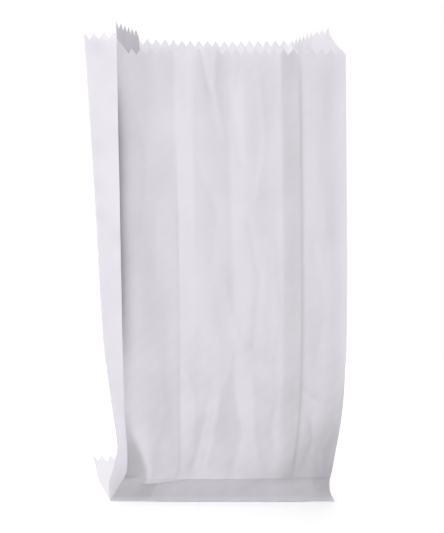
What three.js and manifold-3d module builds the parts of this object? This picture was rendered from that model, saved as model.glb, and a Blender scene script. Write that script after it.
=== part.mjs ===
// A flat paper popcorn bag with pleated side gussets, standing open on its folded bottom edge.
// Units are millimetres. X runs along the front face, Y from the front to the back, Z up.

import * as THREE from 'three';
import { mergeVertices } from 'three/addons/utils/BufferGeometryUtils.js';
import Module from 'manifold-3d';

const wasm = await Module();
wasm.setup();

// Driving dimensions of the flat bag.
const faceWidth = 130;
const gussetWidth = 60;
const bagLength = 280;
const stripLength = 28;
const wall = 0.3;

// The serrated cut: pitch and depth of the teeth, and how far the front lip lies below the upper cut.
const toothPitch = 5.42;
const toothDepth = 3.8;
const lipDrop = 15;
const leftStepDrop = 5.5;
const leftSlantWidth = 7;
const rightSlantWidth = 14.7;

// The stance: the bottom fold on the floor, the heel above it and the flat part of the back behind it.
const foldShift = -5;
const foldDepth = 11;
const heelLength = 17;
const heelFacetWidth = 12;
const frontBowShare = 0.35;
const baseDepth = 12;
const backSag = 5;

// Spacing of stacked layers where the bag is pressed flat, and the room that the glue takes.
const layerSpacing = 2 * wall;
const glueRoom = 0.2;
const foldEdgeHeight = 1;

// Heights along the paper where the panels are divided.
const bandHeight = bagLength - lipDrop - 2 * toothDepth - leftSlantWidth;
const panelColumns = 12;
const gussetColumns = 3;

// The front's bow is smaller above this stretch of the paper.
const upperBowShare = 0.12;
const flatterFrom = 40;
const flatterTo = 120;

// The front's left zone and right curl: width from the fold, how steeply or how far they stand forward,
// and the stretch of the paper over which they begin.
const leftZone = { width: 32.2, slope: 0.14, from: 18, to: 60 };
const rightCurl = { width: 6.5, rise: 2.6, from: 14, to: 50 };
const ridge = { top: 44, end: 62, rise: 2.2, lowShare: 0.35, from: 90, to: 200 };

// Shares of the bag's length: where the left and the right front folds reach their upper course, where
// the front has its full bow, and where the back has its full swell.
const leftCourseShare = 0.57;
const rightCourseShare = 0.4;
const frontBowedShare = 0.5;
const backSwollenShare = 0.3;

// How far each front edge lies outside the flat edge (x), behind the lip (y) and below its paper length
// (lag), at stations along the paper.
const frontLeftStations = [
  { at: 0, x: foldShift, y: foldDepth, lag: -2 * wall },
  { at: 10, x: -0.3, y: 9, lag: 1.4 },
  { at: 24, x: 5.6, y: 6, lag: 3.5 },
  { at: 60, x: 4.4, y: 2, lag: 4.2 },
  { at: bagLength * leftCourseShare, x: 2.5, y: 0, lag: 4.4 },
  { at: bagLength, x: 0, y: 0, lag: 4.5 },
];
const frontRightStations = [
  { at: 0, x: foldShift, y: foldDepth, lag: -2 * wall },
  { at: 9, x: -7.6, y: 9, lag: 1.4 },
  { at: 24, x: -6, y: 6, lag: 3.5 },
  { at: 60, x: -1.2, y: 2, lag: 4.2 },
  { at: bagLength * rightCourseShare, x: 0.8, y: 0, lag: 4.4 },
  { at: bagLength, x: 0, y: 0, lag: 4.5 },
];

// How far each gusset is opened, as a share of its width, and the bearing of its back edge from its
// front edge, in degrees from +X.
const leftGussetStations = [
  { at: 0, open: 0, bearing: 150 },
  { at: 14, open: 0.15, bearing: 145 },
  { at: 24, open: 0.22, bearing: 132 },
  { at: 36, open: 0.25, bearing: 119 },
  { at: 90, open: 0.38, bearing: 124 },
  { at: 180, open: 0.53, bearing: 123 },
  { at: bagLength, open: 0.65, bearing: 125 },
];
const rightGussetStations = [
  { at: 0, open: 0, bearing: 90 },
  { at: 24, open: 0.3, bearing: 92 },
  { at: 60, open: 0.5, bearing: 100 },
  { at: 120, open: 0.75, bearing: 111 },
  { at: bagLength, open: 0.98, bearing: 117.5 },
];

// How the inner creases lean towards the back, per unit of their way in, at the bottom and at the top.
const leftCreaseLean = { bottom: 0, top: 0.25 };
const rightCreaseLean = { bottom: 0, top: -0.5 };

// Near the floor the back panel's sides stand up and its middle lies down: how far in from each side it
// starts to lie down, and how far in it is flat on the floor.
const leftRise = { from: 10, to: 45 };
const rightRise = { from: 5, to: 32 };

// The loose ends of the bottom strip stand away from the back panel: how far for each millimetre of the
// strip, how much of its end is loose, and how far in it meets the panel again.
const leftEar = { away: new THREE.Vector3(-0.46, 0.46, 0.01), loose: 12, glued: 40 };
const rightEar = { away: new THREE.Vector3(-0.02, 0.4, -0.1), loose: 5, glued: 28 };

const halfFace = faceWidth / 2;
const halfGusset = gussetWidth / 2;
const halfWall = wall / 2;
const lipHeight = bagLength - lipDrop;
const backFloor = wall + glueRoom + halfWall;

function share(low, high, value) {
  return Math.min(1, Math.max(0, (value - low) / (high - low)));
}

function ease(low, high, value) {
  const t = share(low, high, value);
  return t * t * (3 - 2 * t);
}

function mix(a, b, t) {
  return a + (b - a) * t;
}

// A smooth curve through stations, read at a paper length: cubic spans with finite-difference slopes.
function along(stations, key, at) {
  const last = stations.length - 1;
  let i = 0;
  while (i < last - 1 && at > stations[i + 1].at) {
    i += 1;
  }
  const slope = (k) => {
    const before = stations[Math.max(0, k - 1)];
    const after = stations[Math.min(last, k + 1)];
    return (after[key] - before[key]) / (after.at - before.at);
  };
  const span = stations[i + 1].at - stations[i].at;
  const t = (at - stations[i].at) / span;
  const square = t * t;
  const cube = square * t;
  return (2 * cube - 3 * square + 1) * stations[i][key]
    + (cube - 2 * square + t) * span * slope(i)
    + (3 * square - 2 * cube) * stations[i + 1][key]
    + (cube - square) * span * slope(i + 1);
}

function frontLeft(v) {
  const x = -halfFace + along(frontLeftStations, 'x', v);
  const y = along(frontLeftStations, 'y', v);
  return new THREE.Vector3(x, y, v - along(frontLeftStations, 'lag', v));
}

function frontRight(v) {
  const x = halfFace + along(frontRightStations, 'x', v);
  const y = along(frontRightStations, 'y', v);
  return new THREE.Vector3(x, y, v - along(frontRightStations, 'lag', v));
}

// The back edge of a gusset, from its front edge. Pressed flat, the two lie two layers apart.
function backEdge(front, stations, v) {
  const opened = along(stations, 'open', v) * gussetWidth;
  const bearing = THREE.MathUtils.degToRad(along(stations, 'bearing', v));
  const step = new THREE.Vector3(Math.cos(bearing), Math.sin(bearing), 0).multiplyScalar(opened);
  step.y += 2 * layerSpacing;
  return front.clone().add(step);
}

function backLeft(v) {
  return backEdge(frontLeft(v), leftGussetStations, v);
}

function backRight(v) {
  return backEdge(frontRight(v), rightGussetStations, v);
}

// The inner crease of a gusset lies half a gusset from both of its edges, inside the bag.
function innerCrease(front, back, inward, lean) {
  const middle = front.clone().lerp(back, 0.5);
  const half = front.distanceTo(back) / 2;
  const reach = Math.sqrt(Math.max(0, halfGusset * halfGusset - half * half));
  const way = new THREE.Vector3(inward, lean, 0).normalize();
  return middle.addScaledVector(way, reach);
}

function leftCrease(v) {
  const lean = mix(leftCreaseLean.bottom, leftCreaseLean.top, v / bagLength);
  return innerCrease(frontLeft(v), backLeft(v), 1, lean);
}

function rightCrease(v) {
  const lean = mix(rightCreaseLean.bottom, rightCreaseLean.top, v / bagLength);
  return innerCrease(frontRight(v), backRight(v), -1, lean);
}

// A panel wider than the gap between its edges bows out of that gap. Its section is flat over a share of
// its width, and falls to the edges over the rest, straight (power 1) or round (power 2).
function bow(s, flat, power) {
  const fall = Math.max(0, (Math.abs(2 * s - 1) - flat) / (1 - flat));
  return 1 - Math.pow(fall, power);
}

function bowDepth(chord, flat, power) {
  const spare = Math.max(0, (faceWidth - chord) / 2);
  const run = ((1 - flat) * chord) / 2;
  return Math.sqrt(spare * spare + mix(2, 1.5, power - 1) * run * spare);
}

// The front panel: a straight slope from the bottom fold to the heel, then up to the lip. It bows forward
// by a share of what its spare width allows, and the rest of that width goes into its crumples.
function frontAbove(s, v) {
  const left = frontLeft(v);
  const right = frontRight(v);
  const upper = ease(heelLength, bagLength * frontBowedShare, v);
  const flat = mix(1 - (2 * heelFacetWidth) / faceWidth, 0, upper);
  const power = mix(1, 2, upper);
  const bowShare = mix(frontBowShare, upperBowShare, ease(flatterFrom, flatterTo, v));
  const depth = bowDepth(left.distanceTo(right), flat, power) * bowShare;
  const point = left.clone().lerp(right, s);
  const swell = bow(s, flat, power);
  const slope = foldDepth - frontLeft(heelLength).y + depth;
  const heelRise = Math.sqrt(Math.max(0, heelLength ** 2 - slope ** 2));
  const settled = frontLeft(heelLength).z - heelRise;
  point.y -= depth * swell;
  point.z -= settled * swell * (1 - share(heelLength, bagLength, v));
  return point;
}

// How far the front panel stands forward: a plane zone from the left fold to the long crease, a low ridge
// beside that crease, and a narrow curl along the right fold. The gussets' front halves follow at their folds.
function frontForward(x, v) {
  const zone = Math.max(0, leftZone.width - x) * leftZone.slope * ease(leftZone.from, leftZone.to, v);
  const curl = rightCurl.rise * Math.exp((x - faceWidth) / rightCurl.width);
  const slopes = Math.min(ease(leftZone.width, ridge.top, x), 1 - ease(ridge.top, ridge.end, x));
  const grown = mix(ridge.lowShare, 1, ease(ridge.from, ridge.to, v)) * ease(leftZone.from, leftZone.to, v);
  return zone + ridge.rise * slopes * grown + curl * ease(rightCurl.from, rightCurl.to, v);
}

function forwardAtFold(gussetHalf, x, nearness) {
  return (s, v) => {
    const point = gussetHalf(s, v);
    point.y -= frontForward(x, v) * nearness(s) ** 2;
    return point;
  };
}

function frontPanel(s, v) {
  if (v >= heelLength) {
    return frontAbove(s, v);
  }
  const t = v / heelLength;
  const fold = frontLeft(0).lerp(frontRight(0), s);
  const heel = frontAbove(s, heelLength);
  const edgeNow = frontLeft(v).lerp(frontRight(v), s);
  const edgeHeel = frontLeft(heelLength).lerp(frontRight(heelLength), s);
  const edgeFlare = edgeNow.sub(fold.clone().lerp(edgeHeel, t));
  const swell = bow(s, 1 - (2 * heelFacetWidth) / faceWidth, 1);
  return fold.lerp(heel, t).addScaledVector(edgeFlare, 1 - swell);
}

// The back panel: its middle lies on the floor behind the bottom fold, turns up and bows out.
const backTurnEnd = 40;

function backMiddle(v) {
  const left = backLeft(v);
  const right = backRight(v);
  const depth = bowDepth(left.distanceTo(right), 0, 2);
  const standing = left.clone().lerp(right, 0.5);
  standing.z -= backSag * (1 - v / bagLength);
  standing.y += depth;
  const lying = backLeft(0).lerp(backRight(0), 0.5);
  lying.y += Math.min(v, baseDepth);
  lying.z = backFloor;
  const turned = ease(baseDepth, backTurnEnd, v);
  standing.y = mix(lying.y, standing.y, Math.sqrt(turned));
  standing.z = mix(lying.z, standing.z, turned);
  return standing;
}

function backPanelFromLeft(s, v) {
  const chord = backLeft(v).lerp(backRight(v), s);
  const middle = backMiddle(v);
  const chordMiddle = backLeft(v).lerp(backRight(v), 0.5);
  const x = s * faceWidth;
  const lying = ease(leftRise.from, leftRise.to, x) * ease(rightRise.from, rightRise.to, faceWidth - x);
  const swell = mix(lying, bow(s, 0, 2), ease(baseDepth, bagLength * backSwollenShare, v));
  return chord.addScaledVector(middle.sub(chordMiddle), swell);
}

// The cut, as a paper length, over the flat bag's width. All layers were cut at once, so the teeth of one
// layer lie over those of the next.
function toothedCut(height, x) {
  const phase = x / toothPitch;
  const saw = Math.abs(2 * (phase - Math.floor(phase)) - 1);
  return height - toothDepth * (1 - saw);
}

function upperCut(x) {
  return toothedCut(bagLength, x);
}

function frontCut(x) {
  const step = (bagLength - leftStepDrop - toothDepth) - x * (lipDrop - leftStepDrop) / leftSlantWidth;
  return x < leftSlantWidth ? Math.max(step, lipHeight - toothDepth) : toothedCut(lipHeight, x);
}

function rightFrontCut(x) {
  const fromFold = faceWidth - x;
  const slant = (lipDrop - toothDepth / 2) * share(0, rightSlantWidth, fromFold);
  return fromFold < rightSlantWidth ? lipHeight - toothDepth / 2 + slant : upperCut(x);
}

// Flat positions where a cut turns: every tooth's tip and root, the panel's two edges and a slant's end.
function cutStops(from, to, extra) {
  const low = Math.min(from, to);
  const high = Math.max(from, to);
  const stops = [low, high, ...extra];
  const half = toothPitch / 2;
  for (let k = Math.ceil(low / half); k * half < high; k += 1) {
    const x = k * half;
    const crowded = stops.some((stop) => Math.abs(stop - x) < half / 3);
    if (!crowded) {
      stops.push(x);
    }
  }
  stops.sort((a, b) => (from < to ? a - b : b - a));
  return stops;
}

// Panels in order round the bag. from and to are their flat positions, and the stacked layers lie one
// spacing apart from front to back.
const acrossFold = new THREE.Vector3(0, layerSpacing / 2, 0);

function between(start, end) {
  return (s, v) => start(v).add(acrossFold).lerp(end(v).sub(acrossFold), s);
}

function betweenReversed(start, end) {
  return (s, v) => start(v).sub(acrossFold).lerp(end(v).add(acrossFold), s);
}

const panels = [
  {
    from: 0, to: faceWidth, columns: panelColumns, cut: frontCut, extra: [leftSlantWidth],
    point: (s, v) => {
      const point = frontPanel(s, v).sub(acrossFold);
      point.y -= frontForward(s * faceWidth, v);
      return point;
    },
  },
  {
    from: faceWidth, to: faceWidth - halfGusset, columns: gussetColumns, cut: rightFrontCut,
    extra: [faceWidth - rightSlantWidth],
    point: forwardAtFold(between(frontRight, rightCrease), faceWidth, (s) => 1 - s),
  },
  {
    from: faceWidth - halfGusset, to: faceWidth, columns: gussetColumns, cut: upperCut, extra: [],
    point: between(rightCrease, backRight),
  },
  {
    from: faceWidth, to: 0, columns: 2 * panelColumns, cut: upperCut, extra: [],
    point: (s, v) => backPanelFromLeft(1 - s, v).add(acrossFold),
  },
  {
    from: 0, to: halfGusset, columns: gussetColumns, cut: upperCut, extra: [],
    point: betweenReversed(backLeft, leftCrease),
  },
  {
    from: halfGusset, to: 0, columns: gussetColumns, cut: upperCut, extra: [],
    point: forwardAtFold(betweenReversed(leftCrease, frontLeft), 0, (s) => s),
  },
];

// Columns crowd towards a panel's edges, where it bends most.
function columnPositions(count) {
  return Array.from({ length: count + 1 }, (_, j) => (1 - Math.cos((Math.PI * j) / count)) / 2);
}

const lowRows = [0, 4, 8, baseDepth, heelLength, 20, 23, 30, backTurnEnd, 55, 75];

function rowHeights() {
  const stretches = 6;
  const rows = lowRows.slice();
  for (let k = 1; k <= stretches; k += 1) {
    rows.push(mix(lowRows.at(-1), bandHeight, k / stretches));
  }
  return rows;
}

// Triangles between two lists of vertices that run the same way, each with its share of the run.
function stitch(lower, upper, triangles) {
  let i = 0;
  let j = 0;
  while (i < lower.length - 1 || j < upper.length - 1) {
    const nextLower = i < lower.length - 1 ? lower[i + 1].share : Infinity;
    const nextUpper = j < upper.length - 1 ? upper[j + 1].share : Infinity;
    if (nextLower <= nextUpper) {
      triangles.push([lower[i].index, lower[i + 1].index, upper[j].index]);
      i += 1;
    } else {
      triangles.push([lower[i].index, upper[j + 1].index, upper[j].index]);
      j += 1;
    }
  }
}

// The middle surface of the tube: one ring of vertices for each height, then the toothed cut.
function tubeSurface() {
  const points = [];
  const triangles = [];
  const add = (point, s) => {
    points.push(point);
    return { index: points.length - 1, share: s };
  };
  const rings = rowHeights().map((v) => panels.map((panel) => (
    columnPositions(panel.columns).map((s) => add(panel.point(s, v), s))
  )));
  rings.push(panels.map((panel) => (
    cutStops(panel.from, panel.to, panel.extra).map((x) => {
      const s = (x - panel.from) / (panel.to - panel.from);
      return add(panel.point(s, panel.cut(x)), s);
    })
  )));
  for (let r = 0; r < rings.length - 1; r += 1) {
    panels.forEach((_, p) => {
      const next = (p + 1) % panels.length;
      stitch(rings[r][p], rings[r + 1][p], triangles);
      const lowerFold = [rings[r][p].at(-1), rings[r][next][0]];
      const upperFold = [rings[r + 1][p].at(-1), rings[r + 1][next][0]];
      triangles.push([lowerFold[0].index, lowerFold[1].index, upperFold[1].index]);
      triangles.push([lowerFold[0].index, upperFold[1].index, upperFold[0].index]);
    });
  }
  return { points, triangles };
}

// The points of a surface moved along their own normals, as far as keeps the distance where it turns.
function movedPoints({ points, triangles }, distance) {
  const sharpestTurn = 0.5;
  const faces = triangles.map(([a, b, c]) => {
    const normal = points[b].clone().sub(points[a]).cross(points[c].clone().sub(points[a]));
    return { corners: [a, b, c], area: normal.length(), normal: normal.normalize() };
  });
  const normals = points.map(() => new THREE.Vector3());
  faces.forEach(({ corners, area, normal }) => {
    corners.forEach((corner) => normals[corner].addScaledVector(normal, Math.sqrt(area)));
  });
  normals.forEach((normal) => normal.normalize());
  const turn = points.map(() => 1);
  faces.forEach(({ corners, normal }) => {
    corners.forEach((corner) => {
      turn[corner] = Math.min(turn[corner], Math.max(sharpestTurn, normals[corner].dot(normal)));
    });
  });
  return points.map((point, i) => point.clone().addScaledVector(normals[i], distance / turn[i]));
}

// The bottom strip runs parallel to the outside of the back panel, and its two ends stand clear of it.
function stripSurface() {
  const points = [];
  const places = [];
  const triangles = [];
  const add = (x, w) => {
    points.push(backPanelFromLeft(x / faceWidth, w).add(acrossFold));
    places.push({ x, w });
    return { index: points.length - 1, share: -x };
  };
  const rows = lowRows.filter((row) => row < stripLength - toothDepth);
  const columns = columnPositions(2 * panelColumns).reverse();
  const lines = rows.map((w) => columns.map((s) => add(s * faceWidth, w)));
  lines.push(cutStops(faceWidth, 0, []).map((x) => add(x, toothedCut(stripLength, x))));
  for (let r = 0; r < lines.length - 1; r += 1) {
    stitch(lines[r], lines[r + 1], triangles);
  }
  const outside = movedPoints({ points, triangles }, wall + glueRoom);
  outside.forEach((point, i) => {
    const { x, w } = places[i];
    point.addScaledVector(leftEar.away, w * (1 - ease(leftEar.loose, leftEar.glued, x)));
    point.addScaledVector(rightEar.away, w * (1 - ease(rightEar.loose, rightEar.glued, faceWidth - x)));
    point.z = Math.max(point.z, halfWall);
  });
  return { points: outside, triangles };
}

// A surface becomes a sheet of the given thickness, with its free edges closed.
function thicken(surface, thickness) {
  const { triangles } = surface;
  const count = surface.points.length;
  const outer = movedPoints(surface, thickness / 2);
  const inner = movedPoints(surface, -thickness / 2);
  const positions = [...outer, ...inner].flatMap((point) => point.toArray());
  const edges = new Map();
  const index = [];
  triangles.forEach(([a, b, c]) => {
    index.push(a, b, c, c + count, b + count, a + count);
    [[a, b], [b, c], [c, a]].forEach(([from, to]) => {
      if (!edges.delete(`${to},${from}`)) {
        edges.set(`${from},${to}`, [from, to]);
      }
    });
  });
  edges.forEach(([from, to]) => {
    index.push(to, from, from + count, to, from + count, to + count);
  });
  const geometry = new THREE.BufferGeometry();
  geometry.setAttribute('position', new THREE.Float32BufferAttribute(positions, 3));
  geometry.setIndex(index);
  return geometry;
}

// The flat part of the strip bears on the floor: vertices within half a wall of it lie on it.
function settleOnFloor(geometry) {
  const { position } = geometry.attributes;
  for (let i = 0; i < position.count; i += 1) {
    if (position.getZ(i) < halfWall) {
      position.setZ(i, 0);
    }
  }
  return geometry;
}

// The bottom fold itself: the four layers pressed into one edge, which closes the bag.
function bottomFoldEdge() {
  const skin = wall / 3;
  const depth = 3 * layerSpacing + wall + 2 * skin;
  const edge = new THREE.BoxGeometry(faceWidth + wall + 2 * skin, depth, foldEdgeHeight - skin / 2);
  edge.translate(foldShift, foldDepth + layerSpacing, (foldEdgeHeight + skin / 2) / 2);
  return edge;
}

function toSolid(geometry) {
  const plain = geometry.clone();
  plain.deleteAttribute('normal');
  plain.deleteAttribute('uv');
  const merged = mergeVertices(plain, 1e-4);
  return new wasm.Manifold(new wasm.Mesh({
    numProp: 3,
    vertProperties: new Float32Array(merged.attributes.position.array),
    triVerts: new Uint32Array(merged.index.array),
  }));
}

function toGeometry(solid) {
  const mesh = solid.getMesh();
  const geometry = new THREE.BufferGeometry();
  geometry.setAttribute('position', new THREE.BufferAttribute(mesh.vertProperties, 3));
  geometry.setIndex(new THREE.BufferAttribute(mesh.triVerts, 1));
  geometry.computeVertexNormals();
  return geometry;
}

// Glued layers can leave pinholes between them, which the glue fills: only the outer shell is kept.
function outerShell(solid) {
  const shells = solid.decompose();
  return shells.reduce((largest, shell) => (shell.volume() > largest.volume() ? shell : largest));
}

function paperBag() {
  const tube = toSolid(thicken(tubeSurface(), wall));
  const strip = toSolid(settleOnFloor(thicken(stripSurface(), wall)));
  const solid = outerShell(tube.add(strip).add(toSolid(bottomFoldEdge())));
  const paper = new THREE.MeshStandardMaterial({ color: 0xf1eff2, roughness: 0.85, metalness: 0 });
  const bag = new THREE.Mesh(toGeometry(solid), paper);
  bag.name = 'paper_bag';
  return bag;
}

// The part's origin is at the middle of its footprint, on the floor.
function standOnOrigin(mesh) {
  mesh.geometry.computeBoundingBox();
  const { min, max } = mesh.geometry.boundingBox;
  mesh.position.set(-(min.x + max.x) / 2, -(min.y + max.y) / 2, -min.z);
  return mesh;
}

const part = new THREE.Group();
part.add(standOnOrigin(paperBag()));

export default part;
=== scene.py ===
"""The looks of a white paper popcorn bag that stands open on its folded bottom edge."""
import math

import bpy
import numpy as np
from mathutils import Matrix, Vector


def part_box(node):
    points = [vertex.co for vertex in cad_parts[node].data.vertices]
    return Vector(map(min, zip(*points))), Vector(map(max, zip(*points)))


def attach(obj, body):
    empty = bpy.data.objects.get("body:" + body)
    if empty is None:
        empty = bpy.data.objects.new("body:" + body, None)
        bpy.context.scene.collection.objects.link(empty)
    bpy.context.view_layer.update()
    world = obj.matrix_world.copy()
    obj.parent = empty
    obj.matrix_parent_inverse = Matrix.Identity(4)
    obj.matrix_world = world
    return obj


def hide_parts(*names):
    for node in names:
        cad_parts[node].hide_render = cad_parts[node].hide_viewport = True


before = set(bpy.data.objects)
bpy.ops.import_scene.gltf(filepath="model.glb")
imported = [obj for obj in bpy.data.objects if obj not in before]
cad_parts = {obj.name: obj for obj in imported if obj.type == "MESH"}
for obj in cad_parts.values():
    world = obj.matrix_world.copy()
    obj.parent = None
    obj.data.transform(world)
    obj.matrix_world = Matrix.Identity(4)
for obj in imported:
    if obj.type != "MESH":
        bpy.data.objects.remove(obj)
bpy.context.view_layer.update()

# Lengths are in millimetres. On the sheet, x is the flat place across a panel and v the paper length up it.
# A pair named as a rise, a fall or the like is a stretch of x or v over which a thing sets in or fades.
MM = 0.001
TINY = 1e-9

# The flat bag.
FACE_WIDTH = 130.0
GUSSET_WIDTH = 60.0
BAG_LENGTH = 280.0
STRIP_LENGTH = 28.0
PAPER = 0.12
HALF_FACE = FACE_WIDTH / 2
HALF_GUSSET = GUSSET_WIDTH / 2

# The serrated cut.
TOOTH_PITCH = 5.42
TOOTH_DEPTH = 3.8
LIP_DROP = 15.0
LIP = BAG_LENGTH - LIP_DROP
LIP_TOOTH_SHIFT = TOOTH_PITCH / 2
LEFT_STEP_DROP = 5.5
LEFT_SLANT = 7.0
RIGHT_SLANT = 14.7
RIGHT_SLANT_RISE = 14.672

# The stance: the bottom fold, the heel above it, the front's bow, and the back, part of which lies down.
FOLD_SHIFT = -5.0
FOLD_DEPTH = 11.0
HEEL = 17.0
HEEL_FACET = 12.0
HEEL_FLAT = 1 - 2 * HEEL_FACET / FACE_WIDTH
FRONT_BOW = 0.35
UPPER_BOW = 0.12
UPPER_BOW_RISE = (40, 120)
BASE_DEPTH = 12.0
BASE_RISE_LEFT = (10, 45)
BASE_RISE_RIGHT = (5, 32)
BACK_SAG = 5.0
BACK_TURN_END = 40.0
BACK_SWOLLEN = BAG_LENGTH * 0.3
BACK_FLOOR = 0.65

# Layers of paper that touch: how far apart they lie, and the part of it that each panel moves.
LAYER = 0.6
APART = np.array((0, LAYER / 4, 0))

# A bow's depth grows with the paper to spare: more where it bends at one line than where it is round.
BENT_SPARE = 2.0
ROUND_SPARE = 1.5

# Grid of the visible sheet: a quarter tooth across and about as much along, with close rows at the heel.
COLUMN_STEP = TOOTH_PITCH / 4
COLUMN_MARGIN = COLUMN_STEP / 3
ROW_STEP = 2.1
BAND = 250.0
CUT_ROWS = 12
HEEL_ROWS = 9
HEEL_ROWS_FROM = HEEL - 4
HEEL_ROWS_TO = HEEL + 0.8
ROW_MARGIN = 0.2
SHARP_ANGLE = 48

# Stations along the front edges: paper length, x past the flat edge, y, and how far z lags the length.
X_COLUMN, Y_COLUMN, LAG_COLUMN = 1, 2, 3
FRONT_LEFT = np.array([
    (0, FOLD_SHIFT, FOLD_DEPTH, -0.6), (10, -0.3, 9, 1.4), (24, 5.6, 6, 3.5), (60, 4.4, 2, 4.2),
    (BAG_LENGTH * 0.57, 2.5, 0, 4.4), (BAG_LENGTH, 0, 0, 4.5)])
FRONT_RIGHT = np.array([
    (0, FOLD_SHIFT, FOLD_DEPTH, -0.6), (9, -7.6, 9, 1.4), (24, -6, 6, 3.5), (60, -1.2, 2, 4.2),
    (BAG_LENGTH * 0.4, 0.8, 0, 4.4), (BAG_LENGTH, 0, 0, 4.5)])

# Stations of the gussets: paper length, share that is open, and the bearing of the back edge in degrees.
OPEN_COLUMN, BEARING_COLUMN = 1, 2
LEFT_GUSSET = np.array([
    (0, 0, 150), (14, 0.15, 145), (24, 0.22, 132), (36, 0.25, 119), (90, 0.38, 124), (180, 0.53, 123),
    (BAG_LENGTH, 0.65, 125)])
RIGHT_GUSSET = np.array([
    (0, 0, 90), (24, 0.3, 92), (60, 0.5, 100), (120, 0.75, 111), (BAG_LENGTH, 0.98, 117.5)])

# How much the gussets' inner creases lean at the top: backward when positive.
LEFT_LEAN = 0.25
RIGHT_LEAN = -0.5

# The glued lap of the seam, behind the front panel.
LAP_WIDTH = 12.0
LAP_EDGE = 104.6
LAP_START = LAP_EDGE - LAP_WIDTH
LAP_MARGIN = 0.3
LAP_GAP = 0.2
LAP_FIRST_ROW = 6
LAP_HEIGHT = 0.22
LAP_RAMP = (LAP_START - 3, LAP_START + 1)
LAP_RISE = (4, 20)

# The bottom strip, and its loose ends: the way they stand off, and the insets where they are loose and glued.
STRIP_ROWS = 15
STRIP_GAP = 0.5
LEFT_EAR = (np.array((-0.53, 0.46, 0.03)), 12, 42)
RIGHT_EAR = (np.array((-0.02, 0.4, -0.1)), 5, 28)
RIPPLE_HEIGHT = 0.5
RIPPLE_LOWEST = -0.05
RIPPLE_SEED = 41
RIPPLE_SIZE = (12, 14)
RIPPLE_RISE = (8, 24)

# Soft hills: how many waves they add up, and what brings them to about one.
WAVES = 6
WAVE_LEVEL = 2.5

# Hills of the front panel: height, seed, size across and along, where they set in, and their share higher up.
FRONT_HILLS = (
    (0.6, 3, (70, 160), (4, 20), 1.0),
    (0.16, 7, (16, 60), (10, 40), 1.0),
    (0.1, 11, (7, 16), (8, 20), 0.4),
)
HILLS_FADE = (60, 150)

# Hills of the gussets and the back: height, and size across and along.
SIDE_HILLS = (
    (0.45, (40, 110)),
    (0.07, (9, 22)),
)
SIDE_SEED = 20
SIDE_INSET = 8
SIDE_RISE = (25, 110)

# A gusset's front half follows the front panel's edge up to this far from their fold.
GUSSET_FOLLOW = 22

# Left zone of the front panel: it stands forward from the long crease to the left fold, which curls.
LEFT_CREASE = 32.2
ZONE_SLOPE = 0.14
ZONE_RISE = (18, 60)
LEFT_CURL = 0.4
LEFT_CURL_MIDDLE = 1.3
LEFT_CURL_WIDTH = 3.5
LEFT_CURL_START = (10, 40)
LEFT_CURL_RISE = (60, 110)
LEFT_CURL_FALL = (215, 262)

# The low ridge beside the long crease: its height, its share low down, and its two slopes' widths.
RIDGE_HEIGHT = 2.2
RIDGE_LOW = 0.35
RIDGE_UP = 10.0
RIDGE_DOWN = 20.0
RIDGE_START = (15, 40)
RIDGE_GROWTH = (90, 200)

# The curl along the right fold.
RIGHT_CURL = 2.6
RIGHT_CURL_WIDTH = 6.5
RIGHT_CURL_RISE = (14, 50)

# The lower right corner bends back below a line through two points (x, v).
BEND_LINE = ((87, 29), (130, 70))
BEND_SLOPE = 0.22
BEND_ACROSS = (60, 95)
BEND_RISE = (2, 18)

# The folded lower left corner: the valley beside it as paper lengths and flat places, and its step and flap.
CORNER_LENGTHS = (0, 16, 33, 48)
CORNER_PLACES = (16, 15, 9, 3)
CORNER_STEP = 1.0
CORNER_BLUR = 2.2
CORNER_RISE = (HEEL - 0.2, HEEL)
CORNER_FALL = (30, 50)
FLAP_SLOPE = 0.3
FLAP_RISE = (HEEL, HEEL + 4)
FLAP_FALL = (26, 60)

# The heel's edge, lowest at the folded corner's tip, and its overhang, which fades to the right and upwards.
HEEL_EDGE_DROP = 0.2
HEEL_TIP_DROP = 3.6
HEEL_TIP_ACROSS = (14, 44)
HEEL_STEP = 1.5
HEEL_STEP_RIGHT = 0.3
HEEL_STEP_FROM = (13, 15.5)
HEEL_STEP_FADE = (30, 62)
HEEL_STEP_EDGE = (-0.5, 0.3)
HEEL_STEP_FALL = (HEEL, HEEL + 16)

# The dent in the foot: its place (x, v), its widths across and along, and its depth.
DENT_PLACE = (76, 8)
DENT_WIDTHS = (6, 3)
DENT_DEPTH = 0.8

# The bottom fold is tight, so the front's relief starts above it.
FOLD_TIGHT = (0, 6)

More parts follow.
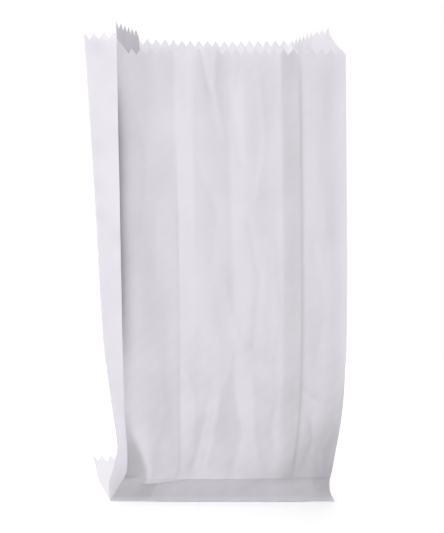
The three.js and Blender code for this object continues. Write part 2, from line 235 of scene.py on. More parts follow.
# Creases of the front panel: points (x, v), width and height.
FRONT_CREASES = (
    (((48, 263), (49.5, 252), (53, 238)), 1.6, -0.9),
    (((56, 262), (55, 245), (60, 215)), 2.5, 0.7),
    (((70, 258), (66, 232), (69, 200)), 3.0, -0.7),
    (((64, 262), (64, 120), (66, 60)), 1.2, -0.3),
    (((80, 255), (84, 215), (79, 180)), 3.0, 0.5),
    (((46, 196), (56, 170), (52, 140)), 3.5, -0.5),
    (((74, 165), (80, 130), (76, 95)), 3.0, -0.6),
    (((60, 130), (66, 100), (60, 70)), 3.0, 0.6),
    (((88, 150), (90, 110), (86, 80)), 3.0, 0.5),
    (((50, 62), (47, 50), (41, 24)), 2.0, -1.1),
    (((57, 70), (54, 48), (50, 26)), 2.2, 1.0),
    (((66, 66), (70, 45), (66, 24)), 2.2, -0.8),
    (((76, 74), (77, 48), (82, 30)), 2.4, 0.9),
    (((38, 78), (43, 60), (40, 40)), 2.0, 0.5),
    (((90, 62), (88, 45), (93, 32)), 2.0, -0.8),
    (((111, 54), (114, 40), (111, 24)), 1.8, -1.0),
    (((105, 70), (117, 62), (128, 68)), 1.8, 0.8),
    (((126, 46), (121, 34), (124, 20)), 1.8, 0.9),
    (((20, 95), (24, 60), (19, 38)), 3.0, 0.5),
    (((10, 230), (16, 200), (12, 160)), 4.0, -0.4),
    (((118, 240), (114, 200), (119, 160)), 4.0, 0.4),
    (((112, 150), (118, 115), (113, 85)), 3.5, -0.5),
)

# Painted shade: tones are shares of the shade colour. Along the left fold, where the gusset lies behind and
# less light comes through, shade is painted, most of all half way up.
FOLD_TONE = 0.12
FOLD_TONE_MIDDLE = 0.75
FOLD_TONE_WIDTH = 3.2
FOLD_TONE_RISE = (80, 130)
FOLD_TONE_FALL = (210, 262)

# Painted shade: the left zone is painted a little darker than the rest, and two lines of painted shade are
# drawn: the lap's edge and the long crease.
ZONE_TONE = 0.04
ZONE_TONE_RISE = (20, 60)
LINE_WIDTH = 0.7
LINE_TONES = (
    (LAP_EDGE, 0.26, (15, 30), (235, 262)),
    (LEFT_CREASE, 0.2, (14, 20), (150, 230)),
)

# Below the heel the painted shade, for a foot that faces down, drops at two places (x, drop), and the folded
# corner's flap has its own painted shade.
FOOT_TONE = 0.38
FOOT_DROPS = ((22, 0.19), (92, 0.03))
FOOT_EDGE = 1.0
FOOT_RISE = (1, 5)
HEEL_BLUR = 0.5
FLAP_TONE = 0.45
FLAP_TIP = 14
FLAP_BLUR = 2.0
FLAP_TONE_RISE = (2, 4)
FLAP_TONE_FALL = (30, 62)

# The lower right corner's painted shade, below a line through two points (x, v).
CORNER_TONE = 0.17
CORNER_TONE_INNER = 0.4
CORNER_TONE_LINE = ((90, 24), (130, 74))
CORNER_TONE_DEPTH = 14
CORNER_TONE_ACROSS = (92, 106)

# Painted shade of the front low down and at its top, and its clouds.
LOW_TONE = 0.06
LOW_TONE_FALL = (20, 120)
TOP_TONE = 0.06
TOP_TONE_RISE = (225, 262)
CLOUD_TONE = 0.035
CLOUD_SEED = 13
CLOUD_SIZE = (22, 30)
CLOUD_HIGHER = 0.5
CLOUD_FADE = (60, 160)

# Clouds of the other panels, and the painted shade at the top of the left gusset's front half.
SIDE_CLOUD_TONE = 0.03
SIDE_CLOUD_SEED = 17
SIDE_CLOUD_SIZE = (25, 40)
GUSSET_TONE = 0.06
GUSSET_TONE_RISE = (225, 255)

# The paper's colour and the colour that painted shade darkens it towards, its clouds and fibres, and the
# range of its share of light that comes through.
PAPER_COLOUR = (0.94, 0.925, 0.955, 1)
SHADE_COLOUR = (0.52, 0.5, 0.535, 1)
PAPER_CLOUDS = {"Scale": 130, "Detail": 4}
PAPER_FIBRES = {"Scale": 1400, "Detail": 3}
PAPER_GRAIN = {"Strength": 0.12, "Distance": 0.0003}
PAPER_THROUGH = {"From Min": 0.3, "From Max": 0.7, "To Min": 0.43, "To Max": 0.51}
PAPER_BODY = {"Roughness": 0.7, "Specular IOR Level": 0.2}

# The floor and the surround: their levels as light, and as the camera sees them.
FLOOR_SIZE = 2
FLOOR_COLOUR = (0.8, 0.8, 0.8, 1)
FLOOR_GLOW = 0.25
FLOOR_WHITE = 0.43
WORLD_COLOUR = (1, 1, 1, 1)
WORLD_LEVEL = 0.34
WORLD_WHITE = 1.0

# Lamps: name, place in metres, width and height in metres, and watts.
LAMP_AIM = (0, 0, 0.14)
LAMPS = (
    ("left_light", (-1.2, 0.1, 0.45), (0.8, 0.8), 3.0),
    ("front_light", (-0.75, -1.2, 0.6), (1.0, 1.0), 11.4),
    ("behind_light", (-0.15, 1.1, 0.4), (1.2, 1.0), 10.5),
    ("top_light", (0, 0.1, 1.3), (1.0, 1.0), 2.5),
)

# The camera: distance from the front face, height and sideways place. It frames a photo of 444 x 533 pixels.
CAMERA_DISTANCE = 700.0
CAMERA_HEIGHT = 136.6
CAMERA_X = -5.1
CAMERA_CLIP = 10.0
PIXELS_PER_MM = 1.754
PHOTO_HEIGHT = 533.0
SENSOR = 36.0


def share(low, high, value):
    """How far a value is from low to high, between 0 and 1."""
    return np.clip((value - low) / (high - low), 0, 1)


def ease(low, high, value):
    """The same with a soft start and end."""
    t = share(low, high, value)
    return t * t * (3 - 2 * t)


def window(rise, fall, value):
    """One between a rise and a fall, and none outside them."""
    return ease(*rise, value) * (1 - ease(*fall, value))


def mix(a, b, t):
    """The value at share t of the way from a to b."""
    return a + (b - a) * t


def lerp(a, b, t):
    """The points at shares t of the way from points a to points b."""
    return mix(a, b, np.asarray(t)[..., None])


def bump(centre, width, value):
    """A bell of height one round a centre."""
    return np.exp(-((value - centre) / width) ** 2)


def point(x, y, z):
    """Points from their three coordinates."""
    return np.stack(np.broadcast_arrays(x, y, z), -1)


def along(stations, column, at):
    """A smooth curve through stations, read at paper lengths."""
    where, value = stations[:, 0], stations[:, column]
    last = len(where) - 1
    before, after = np.maximum(np.arange(last + 1) - 1, 0), np.minimum(np.arange(last + 1) + 1, last)
    slope = (value[after] - value[before]) / (where[after] - where[before])
    i = np.clip(np.searchsorted(where, at, side="left") - 1, 0, last - 1)
    span = where[i + 1] - where[i]
    t = (at - where[i]) / span
    square = t * t
    cube = square * t
    return ((2 * cube - 3 * square + 1) * value[i] + (cube - 2 * square + t) * span * slope[i]
            + (3 * square - 2 * cube) * value[i + 1] + (cube - square) * span * slope[i + 1])


def front_edge(flat_x, stations, v):
    """A folded front edge of the bag."""
    return point(flat_x + along(stations, X_COLUMN, v), along(stations, Y_COLUMN, v),
                 v - along(stations, LAG_COLUMN, v))


def front_left(v):
    """The front panel's left edge."""
    return front_edge(-HALF_FACE, FRONT_LEFT, v)


def front_right(v):
    """The front panel's right edge."""
    return front_edge(HALF_FACE, FRONT_RIGHT, v)


def back_edge(front, stations, v):
    """A folded back edge, as far from its front edge as the gusset is open."""
    opened = along(stations, OPEN_COLUMN, v) * GUSSET_WIDTH
    bearing = np.radians(along(stations, BEARING_COLUMN, v))
    return front + point(np.cos(bearing) * opened, np.sin(bearing) * opened + 2 * LAYER, 0)


def back_left(v):
    """The back panel's left edge."""
    return back_edge(front_left(v), LEFT_GUSSET, v)


def back_right(v):
    """The back panel's right edge."""
    return back_edge(front_right(v), RIGHT_GUSSET, v)


def inner_crease(front, back, inward, lean):
    """A gusset's inner crease: half a gusset from both its edges, inward and with a lean."""
    half = np.linalg.norm(front - back, axis=-1) / 2
    reach = np.sqrt(np.maximum(0, HALF_GUSSET ** 2 - half ** 2))
    length = np.sqrt(1 + lean ** 2)
    return (front + back) / 2 + point(inward * reach / length, lean * reach / length, 0)


def left_crease(v):
    """The left gusset's inner crease."""
    return inner_crease(front_left(v), back_left(v), 1, LEFT_LEAN * v / BAG_LENGTH)


def right_crease(v):
    """The right gusset's inner crease."""
    return inner_crease(front_right(v), back_right(v), -1, RIGHT_LEAN * v / BAG_LENGTH)


def bow(s, flat, power):
    """A panel's swell between its edges: one on the flat middle share, none at s = 0 and s = 1."""
    fall = np.maximum(0, (np.abs(2 * s - 1) - flat) / (1 - flat))
    return 1 - fall ** power


def bow_depth(chord, flat, power):
    """How far a face bows out when its two edges are a chord apart."""
    spare = np.maximum(0, (FACE_WIDTH - chord) / 2)
    run = (1 - flat) * chord / 2
    return np.sqrt(spare ** 2 + mix(BENT_SPARE, ROUND_SPARE, power - 1) * run * spare)


def front_above(s, v):
    """The front panel above the heel: bent at its facets low down, and round from half way up."""
    left, right = front_left(v), front_right(v)
    upper = ease(HEEL, BAG_LENGTH / 2, v)
    flat = mix(HEEL_FLAT, 0, upper)
    power = mix(1, 2, upper)
    depth = bow_depth(np.linalg.norm(left - right, axis=-1), flat, power)
    depth = depth * mix(FRONT_BOW, UPPER_BOW, ease(*UPPER_BOW_RISE, v))
    place = lerp(left, right, s)
    swell = bow(s, flat, power)
    heel_edge = front_left(np.array(HEEL))
    slope = FOLD_DEPTH - heel_edge[1] + depth
    settled = heel_edge[2] - np.sqrt(np.maximum(0, HEEL ** 2 - slope ** 2))
    place[..., 1] -= depth * swell
    place[..., 2] -= settled * swell * (1 - share(HEEL, BAG_LENGTH, v))
    return place


def front_panel(s, v):
    """The front panel: straight from the bottom fold to the heel, and bowed above it."""
    v = np.broadcast_to(v, np.shape(s)).astype(float)
    upper = front_above(s, np.maximum(v, HEEL))
    t = v / HEEL
    zero = np.zeros_like(v)
    fold = lerp(front_left(zero), front_right(zero), s)
    heel = front_above(s, zero + HEEL)
    edge_now = lerp(front_left(v), front_right(v), s)
    edge_heel = lerp(front_left(zero + HEEL), front_right(zero + HEEL), s)
    flare = edge_now - lerp(fold, edge_heel, t)
    lower = lerp(fold, heel, t) + flare * (1 - bow(s, HEEL_FLAT, power=1))[..., None]
    return np.where((v >= HEEL)[..., None], upper, lower)


def back_middle(v):
    """The back panel's middle line, which lies on the floor first and then turns up."""
    left, right = back_left(v), back_right(v)
    standing = (left + right) / 2
    standing[..., 1] += bow_depth(np.linalg.norm(left - right, axis=-1), flat=0, power=2)
    standing[..., 2] -= BACK_SAG * (1 - v / BAG_LENGTH)
    zero = np.zeros_like(v)
    lying = (back_left(zero) + back_right(zero)) / 2
    lying[..., 1] += np.minimum(v, BASE_DEPTH)
    lying[..., 2] = BACK_FLOOR
    turned = ease(BASE_DEPTH, BACK_TURN_END, v)
    standing[..., 1] = mix(lying[..., 1], standing[..., 1], np.sqrt(turned))
    standing[..., 2] = mix(lying[..., 2], standing[..., 2], turned)
    return standing


def back_panel(s, v):
    """The back panel: it follows its middle line, and its two edges near them."""
    v = np.broadcast_to(v, np.shape(s)).astype(float)
    chord = lerp(back_left(v), back_right(v), s)
    offset = back_middle(v) - (back_left(v) + back_right(v)) / 2
    x = s * FACE_WIDTH
    lying = ease(*BASE_RISE_LEFT, x) * ease(*BASE_RISE_RIGHT, FACE_WIDTH - x)
    swell = mix(lying, bow(s, flat=0, power=2), ease(BASE_DEPTH, BACK_SWOLLEN, v))
    return chord + offset * swell[..., None]


def toothed(height, x):
    """A cut with teeth that reach up to a height."""
    phase = x / TOOTH_PITCH
    return height - TOOTH_DEPTH * (1 - np.abs(2 * (phase - np.floor(phase)) - 1))


def upper_cut(x):
    """The cut of the back panel and of the gussets."""
    return toothed(BAG_LENGTH, x)


def front_cut(x):
    """The cut of the front panel: the lower lip, with a slant up to the left fold."""
    step = BAG_LENGTH - LEFT_STEP_DROP - TOOTH_DEPTH - x * (LIP_DROP - LEFT_STEP_DROP) / LEFT_SLANT
    slanted = np.maximum(step, LIP - TOOTH_DEPTH)
    return np.where(x < LEFT_SLANT, slanted, toothed(LIP, x + LIP_TOOTH_SHIFT))


def right_front_cut(x):
    """The cut of the right gusset's front half: a slant from the lip up to the other cut."""
    from_fold = FACE_WIDTH - x
    slant = LIP - TOOTH_DEPTH + RIGHT_SLANT_RISE * share(0, RIGHT_SLANT, from_fold)
    return np.where(from_fold < RIGHT_SLANT, slant, upper_cut(x))


# The panels in their order round the tube: name, flat places of the first and last column, cut and surface.
PANELS = (
    ("front", 0, FACE_WIDTH, front_cut, lambda s, v: front_panel(s, v) - APART),
    ("right_front", FACE_WIDTH, FACE_WIDTH - HALF_GUSSET, right_front_cut,
     lambda s, v: lerp(front_right(v) + APART, right_crease(v) - APART, s)),
    ("right_back", FACE_WIDTH - HALF_GUSSET, FACE_WIDTH, upper_cut,
     lambda s, v: lerp(right_crease(v) + APART, back_right(v) - APART, s)),
    ("back", FACE_WIDTH, 0, upper_cut, lambda s, v: back_panel(1 - s, v) + APART),
    ("left_back", 0, HALF_GUSSET, upper_cut,
     lambda s, v: lerp(back_left(v) - APART, left_crease(v) + APART, s)),
    ("left_front", HALF_GUSSET, 0, upper_cut,
     lambda s, v: lerp(left_crease(v) - APART, front_left(v) + APART, s)),
)


def panel_columns(start, end):
    """Flat places of a panel's columns: its two edges and every quarter tooth between them."""
    low, high = min(start, end), max(start, end)
    inner = np.arange(math.ceil(low / COLUMN_STEP), high / COLUMN_STEP) * COLUMN_STEP
    inner = inner[(inner > low + COLUMN_MARGIN) & (inner < high - COLUMN_MARGIN)]
    places = np.concatenate(([low], inner, [high]))
    return places if start < end else places[::-1]


def row_lengths(top):
    """Paper lengths of a column's rows: they keep their places up to the band, then stretch to the cut."""
    low = np.linspace(0, BAND, round(BAND / ROW_STEP) + 1)
    low = low[(low < HEEL_ROWS_FROM - ROW_MARGIN) | (low > HEEL_ROWS_TO + ROW_MARGIN)]
    low = np.sort(np.concatenate((low, np.linspace(HEEL_ROWS_FROM, HEEL_ROWS_TO, HEEL_ROWS))))
    high = np.linspace(0, 1, CUT_ROWS + 1)[1:]
    return np.concatenate((low, BAND + high * (top - BAND)))


def tube_grid():
    """The smooth sheet as a grid: places, flat places, paper lengths and the panel of each column."""
    places, flats, lengths, names = [], [], [], []
    for name, start, end, cut, surface in PANELS:
        x = panel_columns(start, end)
        v = np.stack([row_lengths(top) for top in cut(x)], 1)
        s = np.broadcast_to((x - start) / (end - start), v.shape)
        places.append(surface(s, v))
        flats.append(np.broadcast_to(x, v.shape))
        lengths.append(v)
        names += [name] * len(x)
    return np.concatenate(places, 1), np.concatenate(flats, 1), np.concatenate(lengths, 1), np.array(names)


def grid_normals(places, closed):
    """Unit normals of a grid of points, outwards, from differences along its rows and columns."""
    if closed:
        across = np.roll(places, -1, 1) - np.roll(places, 1, 1)
    else:
        across = np.gradient(places, axis=1)
    normal = np.cross(across, np.gradient(places, axis=0))
    return normal / np.maximum(np.linalg.norm(normal, axis=-1, keepdims=True), TINY)


def smooth_noise(seed, x, y, size_x, size_y):
    """Soft, seeded hills of about plus and minus one at points of the sheet."""
    rng = np.random.default_rng(seed)
    total = np.zeros_like(x)
    for _ in range(WAVES):
        fx, fy = rng.normal(0, 1 / size_x), rng.normal(0, 1 / size_y)
        total += np.sin(2 * math.pi * (fx * x + fy * y) + rng.uniform(0, 2 * math.pi))
    return total / WAVE_LEVEL


def crease(x, v, points, width, height):
    """A long soft crease through points of the sheet: a ridge when the height is positive, else a valley."""
    distance = np.full(x.shape, np.inf)
    for (ax, av), (bx, bv) in zip(points[:-1], points[1:]):
        dx, dv = bx - ax, bv - av
        t = np.clip(((x - ax) * dx + (v - av) * dv) / (dx * dx + dv * dv), 0, 1)
        distance = np.minimum(distance, np.hypot(x - ax - t * dx, v - av - t * dv))
    return height * np.exp(-distance / width)


def below_line(x, v, a, b):
    """How far a point lies below the line through a and b, never less than zero."""
    dx, dv = b[0] - a[0], b[1] - a[1]
    return np.maximum(0, -((x - a[0]) * -dv + (v - a[1]) * dx) / math.hypot(dx, dv))


def corner_line(v):
    """Flat place of the valley beside the folded lower left corner."""
    return np.interp(v, CORNER_LENGTHS, CORNER_PLACES)


def heel_line(x):
    """Paper length at which the front turns in: lowest at the folded corner's tip."""
    return HEEL - HEEL_EDGE_DROP - HEEL_TIP_DROP * (1 - ease(*HEEL_TIP_ACROSS, x))


def foot_shade(x, v):
    """The painted shade of the folded corner's flap above the heel, and of the foot below it."""
    flap = ease(-FLAP_BLUR, FLAP_BLUR, corner_line(v) - x) * window(FLAP_TONE_RISE, FLAP_TONE_FALL, v)
    foot = FOOT_TONE - sum(drop * ease(place, place + FOOT_EDGE, x) for place, drop in FOOT_DROPS)
    heel = np.where(x > FLAP_TIP, heel_line(x), HEEL)
    below = 1 - ease(-HEEL_BLUR, HEEL_BLUR, v - heel)
    return mix(FLAP_TONE * flap, foot * ease(*FOOT_RISE, v), below)


def front_shade_and_clouds(x, v):
    """How much darker the front panel is painted: painted shade where more paper lies behind it or where less
    light reaches it, and random clouds.
    """
    fold = FOLD_TONE + FOLD_TONE_MIDDLE * window(FOLD_TONE_RISE, FOLD_TONE_FALL, v)
    dark = fold * np.exp(-x / FOLD_TONE_WIDTH)
    dark += ZONE_TONE * (x < LEFT_CREASE - LINE_WIDTH) * ease(*ZONE_TONE_RISE, v)
    dark += foot_shade(x, v)
    for place, tone, rise, fall in LINE_TONES:
        dark += tone * bump(place, LINE_WIDTH, x) * window(rise, fall, v)
    # Painted shade of the lower right corner.
    corner = ease(0, CORNER_TONE_DEPTH, below_line(x, v, *CORNER_TONE_LINE)) * (v > HEEL)
    dark += CORNER_TONE * corner * mix(CORNER_TONE_INNER, 1, ease(*CORNER_TONE_ACROSS, x))
    # Painted shade low down and at the top.
    dark += LOW_TONE * (1 - ease(*LOW_TONE_FALL, v)) + TOP_TONE * ease(*TOP_TONE_RISE, v)
    cloud = smooth_noise(CLOUD_SEED, x, v, *CLOUD_SIZE)
    return dark + CLOUD_TONE * cloud * mix(1, CLOUD_HIGHER, ease(*CLOUD_FADE, v))


def front_hills(x, v):
    """The large, middle and small hills of the front panel."""
    lift = np.zeros_like(x)
    for height, seed, sizes, rise, higher in FRONT_HILLS:
        hills = smooth_noise(seed, x, v, *sizes) * ease(*rise, v)
        lift += height * hills * mix(1, higher, ease(*HILLS_FADE, v))
    return lift


def broad_forms(x, v):
    """The left zone with its curl, the ridge beside the long crease, the right curl and the lap's step."""
    lift = ZONE_SLOPE * np.maximum(0, LEFT_CREASE - x) * ease(*ZONE_RISE, v)
    curl = LEFT_CURL + LEFT_CURL_MIDDLE * window(LEFT_CURL_RISE, LEFT_CURL_FALL, v)
    lift += curl * np.exp(-x / LEFT_CURL_WIDTH) * ease(*LEFT_CURL_START, v)
    ridge = share(0, RIDGE_UP, x - LEFT_CREASE) - share(0, RIDGE_DOWN, x - LEFT_CREASE - RIDGE_UP)
    lift += RIDGE_HEIGHT * ridge * mix(RIDGE_LOW, 1, ease(*RIDGE_GROWTH, v)) * ease(*RIDGE_START, v)
    lift += RIGHT_CURL * np.exp(-(FACE_WIDTH - x) / RIGHT_CURL_WIDTH) * ease(*RIGHT_CURL_RISE, v)
    lift += LAP_HEIGHT * (x < LAP_EDGE) * ease(*LAP_RAMP, x) * ease(*LAP_RISE, v)
    return lift


def foot_forms(x, v):
    """The folded lower left corner, the heel's overhang, the bent lower right corner and the foot's dent."""
    inset = x - corner_line(v)
    lift = CORNER_STEP * ease(-CORNER_BLUR, CORNER_BLUR, inset) * window(CORNER_RISE, CORNER_FALL, v)
    lift += FLAP_SLOPE * np.maximum(0, -inset) * window(FLAP_RISE, FLAP_FALL, v)
    overhang = HEEL_STEP * ease(*HEEL_STEP_FROM, x) * mix(1, HEEL_STEP_RIGHT, ease(*HEEL_STEP_FADE, x))
    lift += overhang * ease(*HEEL_STEP_EDGE, v - heel_line(x)) * (1 - ease(*HEEL_STEP_FALL, v))
    bent = below_line(x, v, *BEND_LINE)
    lift -= BEND_SLOPE * bent * ease(*BEND_ACROSS, x) * ease(*BEND_RISE, v)
    dent = bump(DENT_PLACE[0], DENT_WIDTHS[0], x) * np.exp(-np.abs(v - DENT_PLACE[1]) / DENT_WIDTHS[1])
    return lift - DENT_DEPTH * dent


def front_relief(x, v):
    """How far the front panel stands out of its smooth form."""
    lift = front_hills(x, v) + broad_forms(x, v) + foot_forms(x, v)
    for points, width, height in FRONT_CREASES:
        lift += crease(x, v, points, width, height)
    return lift * ease(*FOLD_TIGHT, v)


def side_relief(x, v, seed, width):
    """Hills of a gusset half or of the back, none at its two folded edges and in the folded bottom."""
    inset = ease(0, SIDE_INSET, x) * ease(0, SIDE_INSET, width - x)
    lift = np.zeros_like(x)
    for step, (height, sizes) in enumerate(SIDE_HILLS):
        lift += height * smooth_noise(seed + step, x, v, *sizes)
    return lift * inset * ease(*SIDE_RISE, v)


def shaped_tube():
    """The tube with its creases, its flat places and paper lengths, and the panel of each column."""
    places, x, v, names = tube_grid()
    normal = grid_normals(places, closed=True)
    moved = np.zeros_like(places)
    for number, (name, start, end, _, _) in enumerate(PANELS):
        of_panel = names == name
        if name == "front":
            lift = front_relief(x[:, of_panel], v[:, of_panel])
            moved[:, of_panel] = point(0.0, -lift, 0.0)
        else:
            seed = SIDE_SEED + len(SIDE_HILLS) * number
            lift = side_relief(x[:, of_panel] - min(start, end), v[:, of_panel], seed, abs(end - start))
            moved[:, of_panel] = normal[:, of_panel] * lift[..., None]
    front = np.flatnonzero(names == "front")
    for name, edge, fold in (("left_front", front[0], 0), ("right_front", front[-1], FACE_WIDTH)):
        of_panel = names == name
        follow = (1 - share(0, GUSSET_FOLLOW, np.abs(x[:, of_panel] - fold))) ** 2
        moved[:, of_panel] += moved[:, edge][:, None] * follow[..., None]
    places = places + moved
    places[..., 2] = np.maximum(places[..., 2], PAPER / 2)
    return places, x, v, names


def tube_shade_and_clouds(x, v, names):
    """The painted shade and the clouds of every point of the tube."""
    front = names == "front"
    # Painted shade at the top of the left gusset's front half.
    dark = np.where(names == "left_front", GUSSET_TONE, 0.0) * ease(*GUSSET_TONE_RISE, v)
    dark += SIDE_CLOUD_TONE * smooth_noise(SIDE_CLOUD_SEED, x, v, *SIDE_CLOUD_SIZE)
    dark[:, front] = front_shade_and_clouds(x[:, front], v[:, front])
    return dark


def lap_grid(places, x, names):
    """The glued lap of the seam, a little behind the front panel of the shaped tube."""
    of_lap = (names == "front") & (x[0] > LAP_START - LAP_MARGIN) & (x[0] < LAP_EDGE)
    return (places - LAP_GAP * grid_normals(places, closed=True))[LAP_FIRST_ROW:, of_lap]


def strip_grid():
    """The bottom strip, glued to the back, with its loose ends."""
    x = panel_columns(FACE_WIDTH, 0)
    w = np.linspace(0, 1, STRIP_ROWS)[:, None] * toothed(STRIP_LENGTH, x)[None, :]
    places = back_panel(np.broadcast_to(x / FACE_WIDTH, w.shape), w) + APART
    normal = grid_normals(places, closed=False)
    places = places + normal * STRIP_GAP
    for inset, (away, loose, glued) in ((x, LEFT_EAR), (FACE_WIDTH - x, RIGHT_EAR)):
        places = places + away * (w * (1 - ease(loose, glued, inset)))[..., None]
    ripple = smooth_noise(RIPPLE_SEED, np.broadcast_to(x, w.shape), w, *RIPPLE_SIZE)
    ripple = RIPPLE_HEIGHT * ripple * ease(*RIPPLE_RISE, w)
    places = places + normal * np.maximum(ripple, RIPPLE_LOWEST)[..., None]
    places[..., 2] = np.maximum(places[..., 2], PAPER / 2)
    return places


def sheet_mesh(name, places, closed, dark):
    """A grid of points in millimetres becomes one sheet of quads."""
    rows, columns = places.shape[:2]
    number = np.arange(rows * columns).reshape(rows, columns)
    right = np.roll(number, -1, 1) if closed else number[:, 1:]
    left = number if closed else number[:, :-1]
    quads = np.stack((left[:-1], right[:-1], right[1:], left[1:]), -1).reshape(-1, 4)
    mesh = bpy.data.meshes.new(name)
    mesh.from_pydata((places.reshape(-1, 3) * MM).tolist(), [], quads.tolist())
    mesh.polygons.foreach_set("use_smooth", np.ones(len(quads), bool))
    # Painted shade, with random clouds, is kept in a point attribute that darkens the paper's colour.
    shade_and_clouds = mesh.attributes.new("shade_and_clouds", "FLOAT", "POINT")
    shade_and_clouds.data.foreach_set("value", np.broadcast_to(dark, places.shape[:2]).reshape(-1).astype(np.float32))
    mesh.update()
    piece = bpy.data.objects.new(name, mesh)
    bpy.context.scene.collection.objects.link(piece)
    return piece


def add_thickness(piece):
    """The sheet gets the paper's thickness, and its folds and rims stay sharp."""
    thick = piece.modifiers.new("paper", "SOLIDIFY")
    thick.thickness = PAPER * MM
    thick.offset = 0
    bpy.context.view_layer.objects.active = piece
    piece.select_set(True)
    bpy.ops.object.modifier_apply(modifier=thick.name)
    piece.select_set(False)
    piece.data.set_sharp_from_angle(angle=math.radians(SHARP_ANGLE))


def set_sockets(node, values):
    """A node's named sockets get their values."""
    for socket, value in values.items():
        node.inputs[socket].default_value = value


def new_material(name):
    """A material with nothing but an output node, and its nodes and links."""
    material = bpy.data.materials.new(name)
    material.use_nodes = True
    nodes, links = material.node_tree.nodes, material.node_tree.links
    nodes.clear()
    return material, nodes, links, nodes.new("ShaderNodeOutputMaterial")


def paper_noise(nodes, links, place, values):
    """A noise texture that keeps its place on the paper."""
    noise = nodes.new("ShaderNodeTexNoise")
    set_sockets(noise, values)
    links.new(place.outputs["Object"], noise.inputs["Vector"])
    return noise.outputs["Fac"]


def paper_material():
    """White tissue-like paper: matt, with light coming through it, a cloudy fibre structure and painted
    shade.
    """
    material, nodes, links, out = new_material("paper")
    place = nodes.new("ShaderNodeTexCoord")
    grain = nodes.new("ShaderNodeBump")
    set_sockets(grain, PAPER_GRAIN)
    links.new(paper_noise(nodes, links, place, PAPER_FIBRES), grain.inputs["Height"])
    density = nodes.new("ShaderNodeMapRange")
    set_sockets(density, PAPER_THROUGH)
    links.new(paper_noise(nodes, links, place, PAPER_CLOUDS), density.inputs["Value"])
    # Painted shade: the sheet's shade attribute mixes the paper's colour towards the shade colour.
    shade_and_clouds = nodes.new("ShaderNodeAttribute")
    shade_and_clouds.attribute_name = "shade_and_clouds"
    colour = nodes.new("ShaderNodeMix")
    colour.data_type = "RGBA"
    set_sockets(colour, {"A": PAPER_COLOUR, "B": SHADE_COLOUR})
    links.new(shade_and_clouds.outputs["Fac"], colour.inputs["Factor"])
    body = nodes.new("ShaderNodeBsdfPrincipled")
    set_sockets(body, PAPER_BODY)
    through = nodes.new("ShaderNodeBsdfTranslucent")
    links.new(colour.outputs["Result"], body.inputs["Base Color"])
    links.new(colour.outputs["Result"], through.inputs["Color"])
    links.new(grain.outputs["Normal"], body.inputs["Normal"])
    both = nodes.new("ShaderNodeMixShader")
    links.new(density.outputs["Result"], both.inputs[0])
    links.new(body.outputs[0], both.inputs[1])
    links.new(through.outputs[0], both.inputs[2])
    links.new(both.outputs[0], out.inputs[0])
    return material


def level_by_ray(nodes, links, light, seen):
    """A strength that is one value as light and another as the camera sees it."""
    path = nodes.new("ShaderNodeLightPath")
    level = nodes.new("ShaderNodeMix")
    set_sockets(level, {"A": light, "B": seen})
    links.new(path.outputs["Is Camera Ray"], level.inputs["Factor"])
    return level.outputs["Result"]


def floor_material():
    """A white floor that takes the bag's soft shadow, with an even glow of its own."""
    material, nodes, links, out = new_material("floor")
    pale = nodes.new("ShaderNodeBsdfDiffuse")
    set_sockets(pale, {"Color": FLOOR_COLOUR})
    glow = nodes.new("ShaderNodeEmission")
    links.new(level_by_ray(nodes, links, FLOOR_GLOW, FLOOR_WHITE), glow.inputs["Strength"])
    both = nodes.new("ShaderNodeAddShader")
    links.new(pale.outputs[0], both.inputs[0])
    links.new(glow.outputs[0], both.inputs[1])
    links.new(both.outputs[0], out.inputs[0])
    return material


def make_floor():
    """The floor under the bag."""
    bpy.ops.mesh.primitive_plane_add(size=FLOOR_SIZE)
    floor = bpy.context.active_object
    floor.name = "floor"
    floor.data.materials.append(floor_material())


def make_world():
    """An even white surround."""
    world = bpy.data.worlds.new("studio")
    bpy.context.scene.world = world
    world.use_nodes = True
    nodes, links = world.node_tree.nodes, world.node_tree.links
    back = nodes["Background"]
    set_sockets(back, {"Color": WORLD_COLOUR})
    links.new(level_by_ray(nodes, links, WORLD_LEVEL, WORLD_WHITE), back.inputs["Strength"])


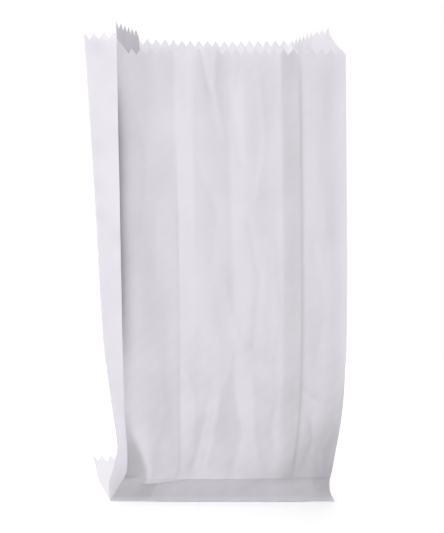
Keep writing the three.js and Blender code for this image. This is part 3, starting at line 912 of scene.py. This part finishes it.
def make_lamp(name, place, size, power):
    """A soft rectangular lamp that looks at the bag's middle."""
    data = bpy.data.lights.new(name, "AREA")
    data.shape = "RECTANGLE"
    data.size, data.size_y = size
    data.energy = power
    lamp = bpy.data.objects.new(name, data)
    lamp.location = place
    lamp.rotation_euler = (Vector(LAMP_AIM) - Vector(place)).to_track_quat("-Z", "Y").to_euler()
    bpy.context.scene.collection.objects.link(lamp)


def make_camera(offset):
    """The camera at the photograph's place, level and straight ahead."""
    data = bpy.data.cameras.new("camera")
    data.sensor_width = SENSOR
    data.lens = PIXELS_PER_MM * CAMERA_DISTANCE * SENSOR / PHOTO_HEIGHT
    data.clip_start = CAMERA_CLIP * MM
    camera = bpy.data.objects.new("camera", data)
    camera.location = ((CAMERA_X + offset[0]) * MM, (-CAMERA_DISTANCE + offset[1]) * MM, CAMERA_HEIGHT * MM)
    camera.rotation_euler = (math.radians(90), 0, 0)
    bpy.context.scene.collection.objects.link(camera)
    bpy.context.scene.camera = camera


def design_offset(places):
    """The move from the design frame to the part's frame, which sets the box middles on each other."""
    low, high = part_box("paper_bag")
    flat = places.reshape(-1, 3)
    middle = (flat.min(0) + flat.max(0)) / 2
    target = np.array(((low.x + high.x) / 2, (low.y + high.y) / 2, 0)) / MM
    return np.array((target[0] - middle[0], target[1] - middle[1], 0))


def make_bag(offset):
    """The tube, the bottom strip and the glued lap, in place of the bag's solid."""
    places, x, v, names = shaped_tube()
    paper = paper_material()
    grids = (
        ("bag_tube", places, True, tube_shade_and_clouds(x, v, names)),
        ("bag_strip", strip_grid(), False, 0.0),
        ("bag_lap", lap_grid(places, x, names), False, 0.0),
    )
    for name, grid, closed, dark in grids:
        piece = sheet_mesh(name, grid + offset, closed, dark)
        add_thickness(piece)
        piece.data.materials.append(paper)
        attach(piece, "root")
        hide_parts("paper_bag")


bpy.context.scene.view_settings.view_transform = "Standard"
offset = design_offset(tube_grid()[0])
make_bag(offset)
make_floor()
make_world()
for lamp in LAMPS:
    make_lamp(*lamp)
make_camera(offset)
